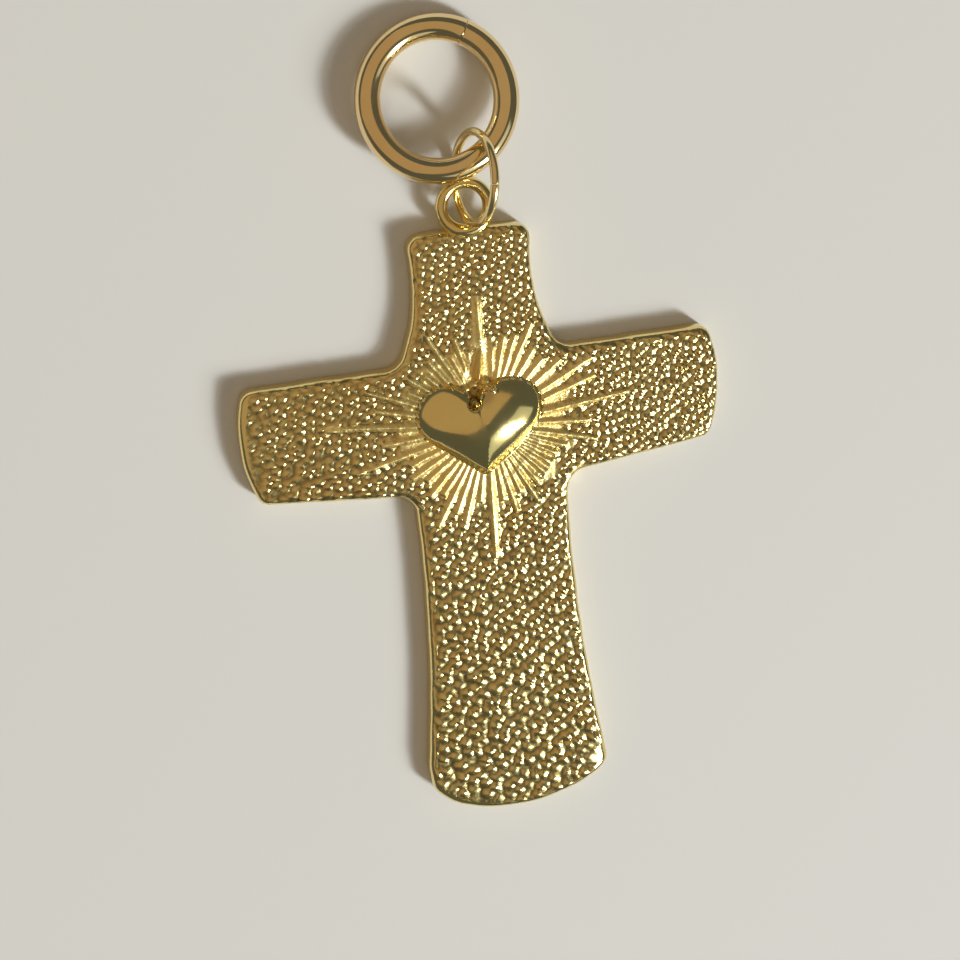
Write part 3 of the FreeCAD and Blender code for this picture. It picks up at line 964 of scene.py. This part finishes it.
def plating_tone_group():
    """Slow drift of the plating between two golds, with warmer thin places."""
    group = bpy.data.node_groups.new("plating_tone", "ShaderNodeTree")
    sockets(
        group,
        [
            ("Gold", "NodeSocketColor", (0.9, 0.62, 0.26, 1)),
            ("Warm Gold", "NodeSocketColor", (0.9, 0.52, 0.2, 1)),
            ("Patch Scale", "NodeSocketFloat", 200.0),
            ("Amount", "NodeSocketFloat", 0.6),
        ],
        [("Color", "NodeSocketColor")],
    )
    inside = group.nodes.new("NodeGroupInput")
    outside = group.nodes.new("NodeGroupOutput")
    place = group.nodes.new("ShaderNodeTexCoord")
    noise = node_of(group, "ShaderNodeTexNoise", Detail=4.0, Roughness=0.6)
    spread = node_of(group, "ShaderNodeMapRange", From_Min=0.4, From_Max=0.7)
    amount = node_of(group, "ShaderNodeMath", operation="MULTIPLY")
    mix = node_of(group, "ShaderNodeMix", data_type="RGBA")
    link(group, place.outputs["Object"], noise.inputs["Vector"])
    link(group, inside.outputs["Patch Scale"], noise.inputs["Scale"])
    link(group, noise.outputs["Fac"], spread.inputs["Value"])
    link(group, spread.outputs["Result"], amount.inputs[0])
    link(group, inside.outputs["Amount"], amount.inputs[1])
    link(group, amount.outputs[0], mix.inputs["Factor"])
    link(group, inside.outputs["Gold"], mix.inputs["A"])
    link(group, inside.outputs["Warm Gold"], mix.inputs["B"])
    link(group, mix.outputs["Result"], outside.inputs["Color"])
    return group


def handling_marks_group():
    """Fine scratches and smears on polished metal: a height and a roughness that change over the surface."""
    group = bpy.data.node_groups.new("handling_marks", "ShaderNodeTree")
    sockets(
        group,
        [
            ("Scratch Scale", "NodeSocketFloat", 900.0),
            ("Smear Scale", "NodeSocketFloat", 150.0),
            ("Low Roughness", "NodeSocketFloat", 0.08),
            ("High Roughness", "NodeSocketFloat", 0.2),
        ],
        [("Height", "NodeSocketFloat"), ("Roughness", "NodeSocketFloat")],
    )
    inside = group.nodes.new("NodeGroupInput")
    outside = group.nodes.new("NodeGroupOutput")
    place = group.nodes.new("ShaderNodeTexCoord")
    stretch = node_of(group, "ShaderNodeMapping", Scale=(1.0, 0.12, 1.0), Rotation=(0.3, 0.2, 0.6))
    scratch = node_of(group, "ShaderNodeTexNoise", Detail=3.0, Roughness=0.7)
    smear = node_of(group, "ShaderNodeTexNoise", Detail=5.0, Roughness=0.55)
    rough = node_of(group, "ShaderNodeMapRange", From_Min=0.35, From_Max=0.7)
    link(group, place.outputs["Object"], stretch.inputs["Vector"])
    link(group, stretch.outputs["Vector"], scratch.inputs["Vector"])
    link(group, inside.outputs["Scratch Scale"], scratch.inputs["Scale"])
    link(group, place.outputs["Object"], smear.inputs["Vector"])
    link(group, inside.outputs["Smear Scale"], smear.inputs["Scale"])
    link(group, smear.outputs["Fac"], rough.inputs["Value"])
    link(group, inside.outputs["Low Roughness"], rough.inputs["To Min"])
    link(group, inside.outputs["High Roughness"], rough.inputs["To Max"])
    link(group, scratch.outputs["Fac"], outside.inputs["Height"])
    link(group, rough.outputs["Result"], outside.inputs["Roughness"])
    return group


def placed(tree, group, **values):
    """A shared group placed in a material with its own values."""
    node = tree.nodes.new("ShaderNodeGroup")
    node.node_tree = group
    for name, value in values.items():
        node.inputs[name.replace("_", " ")].default_value = value
    return node


def new_material(name, metallic):
    """A node material, with its tree and its own shader."""
    material = bpy.data.materials.new(name)
    material.use_nodes = True
    tree = material.node_tree
    shader = next(node for node in tree.nodes if node.type == "BSDF_PRINCIPLED")
    shader.inputs["Metallic"].default_value = metallic
    return material, tree, shader


def cast_gold(tone, marks):
    """Gold plate on the casting: grainy, with painted shade darkening its valleys and pit, and bright where
    it is polished.
    """
    material, tree, shader = new_material("cast_gold", metallic=1.0)
    colour = placed(
        tree, tone, Gold=(0.9, 0.74, 0.33, 1), Warm_Gold=(0.89, 0.63, 0.24, 1), Patch_Scale=260.0, Amount=0.6
    )
    # Painted shade: the gold is multiplied by a dull grey-brown where the corner's shade value is high.
    hollow_shade = node_of(tree, "ShaderNodeAttribute", attribute_name="hollow_shade")
    polish = node_of(tree, "ShaderNodeAttribute", attribute_name="polish")
    deep = node_of(tree, "ShaderNodeMix", data_type="RGBA", blend_type="MULTIPLY")
    deep.inputs["B"].default_value = (0.46, 0.42, 0.38, 1)
    link(tree, hollow_shade.outputs["Fac"], deep.inputs["Factor"])
    link(tree, colour.outputs["Color"], deep.inputs["A"])
    link(tree, deep.outputs["Result"], shader.inputs["Base Color"])
    wear = placed(tree, marks, Scratch_Scale=1400.0, Smear_Scale=240.0, Low_Roughness=0.1, High_Roughness=0.2)
    grainy = node_of(tree, "ShaderNodeMapRange", To_Min=0.42, To_Max=0.0)
    rough = node_of(tree, "ShaderNodeMath", operation="MAXIMUM")
    link(tree, polish.outputs["Fac"], grainy.inputs["Value"])
    link(tree, grainy.outputs["Result"], rough.inputs[0])
    link(tree, wear.outputs["Roughness"], rough.inputs[1])
    link(tree, rough.outputs[0], shader.inputs["Roughness"])
    place = tree.nodes.new("ShaderNodeTexCoord")
    grain = node_of(tree, "ShaderNodeTexNoise", Scale=4200.0, Detail=2.0, Roughness=0.6)
    strength = node_of(tree, "ShaderNodeAttribute", attribute_name="grain")
    height = node_of(tree, "ShaderNodeMath", operation="MULTIPLY")
    bump = node_of(tree, "ShaderNodeBump", Strength=0.7, Distance=0.00004)
    link(tree, place.outputs["Object"], grain.inputs["Vector"])
    link(tree, grain.outputs["Fac"], height.inputs[0])
    link(tree, strength.outputs["Fac"], height.inputs[1])
    link(tree, height.outputs[0], bump.inputs["Height"])
    link(tree, bump.outputs["Normal"], shader.inputs["Normal"])
    return material


def ring_gold(name, tone, marks, gold, warm, scratch_scale, roughness):
    """Gold plate on drawn wire: polished, with handling marks."""
    material, tree, shader = new_material(name, metallic=1.0)
    colour = placed(tree, tone, Gold=gold, Warm_Gold=warm, Patch_Scale=180.0, Amount=0.6)
    wear = placed(
        tree, marks, Scratch_Scale=scratch_scale, Smear_Scale=170.0,
        Low_Roughness=roughness[0], High_Roughness=roughness[1],
    )
    bump = node_of(tree, "ShaderNodeBump", Strength=0.35, Distance=0.00001)
    link(tree, colour.outputs["Color"], shader.inputs["Base Color"])
    link(tree, wear.outputs["Roughness"], shader.inputs["Roughness"])
    link(tree, wear.outputs["Height"], bump.inputs["Height"])
    link(tree, bump.outputs["Normal"], shader.inputs["Normal"])
    return material


def pale_floor():
    """Plain pale floor."""
    material, _, shader = new_material("pale_floor", metallic=0.0)
    shader.inputs["Base Color"].default_value = (0.8, 0.81, 0.84, 1)
    shader.inputs["Roughness"].default_value = 0.9
    shader.inputs["Specular IOR Level"].default_value = 0.0
    mesh = bpy.data.meshes.new("floor")
    corners = [(x * FLOOR_HALF, y * FLOOR_HALF, 0) for x, y in ((-1, -1), (1, -1), (1, 1), (-1, 1))]
    mesh.from_pydata(corners, [], [(0, 1, 2, 3)])
    mesh.materials.append(material)
    floor = bpy.data.objects.new("floor", mesh)
    bpy.context.scene.collection.objects.link(floor)


# Camera and light.


def add_camera():
    """The photograph's angle: from high above the top left, the picture's top turned a little off +Y."""
    place = Vector(CAMERA_PLACE) * MM
    back = (place - Vector(CAMERA_AIM) * MM).normalized()
    top = Vector((math.sin(CAMERA_TOP_TURN), math.cos(CAMERA_TOP_TURN), 0))
    right = top.cross(back).normalized()
    up = back.cross(right)
    data = bpy.data.cameras.new("camera")
    data.sensor_width = 36
    data.lens = CAMERA_LENS
    data.clip_start = 0.01
    camera = bpy.data.objects.new("camera", data)
    camera.matrix_world = Matrix.Translation(place) @ Matrix((right, up, back)).transposed().to_4x4()
    bpy.context.scene.collection.objects.link(camera)
    bpy.context.scene.camera = camera


def aimed_lamp(name, kind, bearing, height_angle, distance, strength, colour):
    """A lamp aimed at the pendant, by its bearing from +X and its angle above the floor."""
    bearing, height_angle = math.radians(bearing), math.radians(height_angle)
    way = Vector((
        math.cos(bearing) * math.cos(height_angle),
        math.sin(bearing) * math.cos(height_angle),
        math.sin(height_angle),
    ))
    data = bpy.data.lights.new(name, kind)
    data.energy = strength
    data.color = colour
    lamp = bpy.data.objects.new(name, data)
    lamp.rotation_euler = way.to_track_quat("Z", "Y").to_euler()
    lamp.location = way * distance
    bpy.context.scene.collection.objects.link(lamp)
    return data


def soft_panel(name, bearing, height_angle, distance, size, watts, colour):
    """A soft panel of a size in metres."""
    data = aimed_lamp(name, "AREA", bearing, height_angle, distance, watts, colour)
    data.shape = "RECTANGLE"
    data.size, data.size_y = size


def add_light():
    """Plain soft studio light: a grey world, a key and a weak fill at the right, a warm panel at the left."""
    world = bpy.data.worlds.new("studio")
    world.use_nodes = True
    background = world.node_tree.nodes["Background"]
    background.inputs["Color"].default_value = (0.1, 0.105, 0.095, 1)
    background.inputs["Strength"].default_value = 1.0
    bpy.context.scene.world = world
    core = aimed_lamp("key_core", "SUN", KEY_BEARING, KEY_HEIGHT, distance=1.0, strength=1.3, colour=KEY_TINT)
    core.angle = math.radians(9)
    soft_panel("key", KEY_BEARING, KEY_HEIGHT, distance=1.4, size=(0.24, 0.6), watts=9.6, colour=KEY_TINT)
    soft_panel("fill", -42, 40, distance=0.75, size=(0.7, 0.42), watts=0.42, colour=(0.95, 1.0, 0.9))
    soft_panel("warm_panel", 143, 64, distance=0.9, size=(1.8, 1.6), watts=2.9, colour=(1.0, 0.66, 0.32))


# The pendant.

bpy.context.scene.view_settings.view_transform = "Standard"
plating_tone = plating_tone_group()
handling_marks = handling_marks_group()

casting = build_casting(cast_gold(plating_tone, handling_marks))
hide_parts("cross")
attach(casting, "cross")

jump_gold = ring_gold(
    "jump_gold", plating_tone, handling_marks,
    gold=(0.9, 0.73, 0.37, 1), warm=(0.88, 0.62, 0.28, 1), scratch_scale=1500.0, roughness=(0.12, 0.24),
)
jump = build_ring("jump_wire", "jump_ring", jump_gold, around=150, across=28, seam_gap=0.07, end_round=0.09)
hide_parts("jump_ring")
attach(jump, "jump_ring")

carrier_gold = ring_gold(
    "carrier_gold", plating_tone, handling_marks,
    gold=(0.9, 0.71, 0.38, 1), warm=(0.88, 0.6, 0.29, 1), scratch_scale=700.0, roughness=(0.05, 0.15),
)
carrier = build_ring(
    "carrier_wire", "carrier_ring", carrier_gold, around=220, across=48, seam_gap=0.03, end_round=0.05
)
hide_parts("carrier_ring")
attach(carrier, "carrier_ring")

pale_floor()
add_camera()
add_light()
